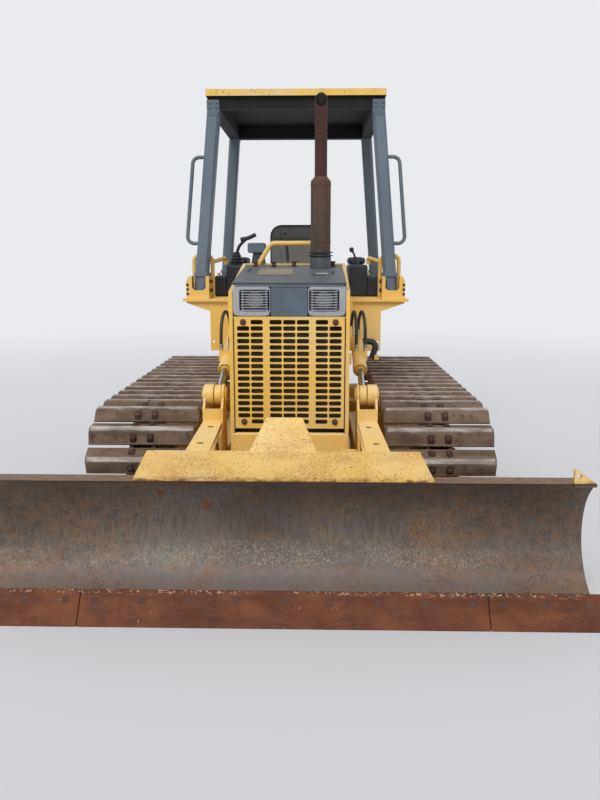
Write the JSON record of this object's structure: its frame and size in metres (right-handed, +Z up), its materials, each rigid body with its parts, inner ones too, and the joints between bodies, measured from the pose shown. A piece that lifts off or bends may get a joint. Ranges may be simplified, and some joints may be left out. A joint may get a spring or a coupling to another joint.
{
  "type": "crawler bulldozer",
  "caption": "Small yellow crawler bulldozer with wide swamp tracks, an angling and tilting blade on a C-frame and an open canopy.",
  "frame": {"origin": "on the ground, midway across the blade and midway from the cutting edge to the drawbar's end", "axes": "+Y runs back from the blade to the drawbar, +X is the machine's left, +Z is up"},
  "size_m": [2.85, 4, 2.7],
  "materials": {
    "yellow_paint": "semi-gloss",
    "grey_paint": "semi-gloss",
    "dark_paint": "satin",
    "panel_plastic": "satin",
    "lamp_glass": "clear",
    "worn_steel": "worn",
    "rusty_steel": "rusty",
    "track_steel": "worn",
    "rod_chrome": "polished",
    "black_plastic": "matte",
    "seat_vinyl": "satin",
    "engine_iron": "matte",
    "core_metal": "matte",
    "hose_rubber": "matte"
  },
  "bodies": {
    "root": {"canopy_roof": "yellow_paint", "console_left": "black_plastic", "console_right": "black_plastic", "cowl": "dark_paint", "deck_rail_left": "yellow_paint", "deck_rail_right": "yellow_paint", "drawbar": "worn_steel", "engine_block": "engine_iron", "exhaust_pipe": "rusty_steel", "fender_left": "yellow_paint", "fender_right": "yellow_paint", "floor_plate": "dark_paint", "front_grille": "yellow_paint", "front_post_left": "grey_paint", "front_post_right": "grey_paint", "fuel_tank": "yellow_paint", "guard_lower_beam": "yellow_paint", "headlamps": "lamp_glass", "hood": "dark_paint", "hood_grab_rail": "yellow_paint", "hood_rear_rail": "dark_paint", "hood_side_left": "yellow_paint", "hood_side_right": "yellow_paint", "instrument_pod": "panel_plastic", "lamp_panel": "panel_plastic", "main_frame": "yellow_paint", "muffler": "rusty_steel", "radiator_core": "core_metal", "rear_post_left": "grey_paint", "rear_post_right": "grey_paint", "running_gear_left": "track_steel", "running_gear_right": "track_steel", "seat_back": "seat_vinyl", "seat_base": "dark_paint", "seat_cushion": "seat_vinyl", "track_frame_left": "yellow_paint", "track_frame_right": "yellow_paint", "track_left": "track_steel", "track_right": "track_steel", "transmission_case": "yellow_paint"},
    "c_frame": {"c_frame": "yellow_paint"},
    "blade_carrier": {"blade_carrier": "yellow_paint"},
    "blade": {"blade": "yellow_paint", "cutting_edge": "rusty_steel"},
    "tilt_cylinder": {"tilt_cylinder": "yellow_paint"},
    "tilt_rod": {"tilt_rod": "rod_chrome"},
    "lift_cylinder_left": {"lift_cylinder_left": "yellow_paint", "hose_inner_left": "hose_rubber", "hose_outer_left": "hose_rubber"},
    "lift_rod_left": {"lift_rod_left": "rod_chrome"},
    "angle_cylinder_left": {"angle_cylinder_left": "yellow_paint"},
    "angle_rod_left": {"angle_rod_left": "rod_chrome"},
    "engine_door_left": {"engine_door_left": "yellow_paint"},
    "lift_cylinder_right": {"lift_cylinder_right": "yellow_paint", "hose_inner_right": "hose_rubber", "hose_outer_right": "hose_rubber"},
    "lift_rod_right": {"lift_rod_right": "rod_chrome"},
    "angle_cylinder_right": {"angle_cylinder_right": "yellow_paint"},
    "angle_rod_right": {"angle_rod_right": "rod_chrome"},
    "engine_door_right": {"engine_door_right": "yellow_paint"}
  },
  "joints": [
    {"name": "lift", "type": "hinge", "parent": "root", "child": "c_frame", "pos_m": [0, 0.21, 0.42], "axis": [-1, 0, 0], "range_deg": [-9, 20]},
    {"name": "angle", "type": "hinge", "parent": "c_frame", "child": "blade_carrier", "pos_m": [0, -1.575, 0.33], "axis": [0, 0, 1], "range_deg": [-25, 25]},
    {"name": "tilt", "type": "hinge", "parent": "blade_carrier", "child": "blade", "pos_m": [0, -1.72, 0.33], "axis": [0, -1, 0], "range_deg": [-8, 8]},
    {"name": "lift_barrel_left", "type": "hinge", "parent": "root", "child": "lift_cylinder_left", "pos_m": [0.404, -0.17, 1.1], "axis": [-1, 0, 0], "range_deg": [-12.5, 27.2]},
    {"name": "lift_stroke_left", "type": "slide", "parent": "lift_cylinder_left", "child": "lift_rod_left", "axis": [0, -0.9518, -0.3067], "range_m": [-0.253, 0.115]},
    {"name": "angle_barrel_left", "type": "hinge", "parent": "c_frame", "child": "angle_cylinder_left", "pos_m": [0.43, -1, 0.575], "axis": [0, 0, 1], "range_deg": [-0.9, 0.9]},
    {"name": "angle_stroke_left", "type": "slide", "parent": "angle_cylinder_left", "child": "angle_rod_left", "axis": [-0.0797, -0.9968, 0], "range_m": [-0.163, 0.163]},
    {"name": "lift_barrel_right", "type": "hinge", "parent": "root", "child": "lift_cylinder_right", "pos_m": [-0.404, -0.17, 1.1], "axis": [-1, 0, 0], "range_deg": [-12.5, 27.2]},
    {"name": "lift_stroke_right", "type": "slide", "parent": "lift_cylinder_right", "child": "lift_rod_right", "axis": [0, -0.9518, -0.3067], "range_m": [-0.253, 0.115]},
    {"name": "angle_barrel_right", "type": "hinge", "parent": "c_frame", "child": "angle_cylinder_right", "pos_m": [-0.43, -1, 0.575], "axis": [0, 0, 1], "range_deg": [-0.9, 0.9]},
    {"name": "angle_stroke_right", "type": "slide", "parent": "angle_cylinder_right", "child": "angle_rod_right", "axis": [0.0797, -0.9968, 0], "range_m": [-0.163, 0.163]},
    {"name": "tilt_barrel", "type": "hinge", "parent": "blade_carrier", "child": "tilt_cylinder", "pos_m": [0.3, -1.635, 0.682], "axis": [0, -1, 0], "range_deg": [-2.4, 2.4]},
    {"name": "tilt_stroke", "type": "slide", "parent": "tilt_cylinder", "child": "tilt_rod", "axis": [-1, 0, 0], "range_m": [-0.05, 0.05]},
    {"name": "engine_door_left", "type": "hinge", "parent": "root", "child": "engine_door_left", "pos_m": [0.3285, -0.992, 1.2175], "axis": [0, 0, 1], "range_deg": [-110, 0]},
    {"name": "engine_door_right", "type": "hinge", "parent": "root", "child": "engine_door_right", "pos_m": [-0.3285, -0.992, 1.2175], "axis": [0, 0, -1], "range_deg": [-110, 0]}
  ],
  "couplings": [
    {"joint": "lift_barrel_left", "follows": "lift", "ratio": 1.34},
    {"joint": "lift_stroke_left", "follows": "lift", "m_per_rad": -0.72},
    {"joint": "angle_barrel_left", "follows": "angle", "ratio": 0.03},
    {"joint": "angle_stroke_left", "follows": "angle", "m_per_rad": -0.37},
    {"joint": "lift_barrel_right", "follows": "lift", "ratio": 1.34},
    {"joint": "lift_stroke_right", "follows": "lift", "m_per_rad": -0.72},
    {"joint": "angle_barrel_right", "follows": "angle", "ratio": 0.03},
    {"joint": "angle_stroke_right", "follows": "angle", "m_per_rad": 0.37},
    {"joint": "tilt_barrel", "follows": "tilt", "ratio": 0.286},
    {"joint": "tilt_stroke", "follows": "tilt", "m_per_rad": 0.352}
  ]
}
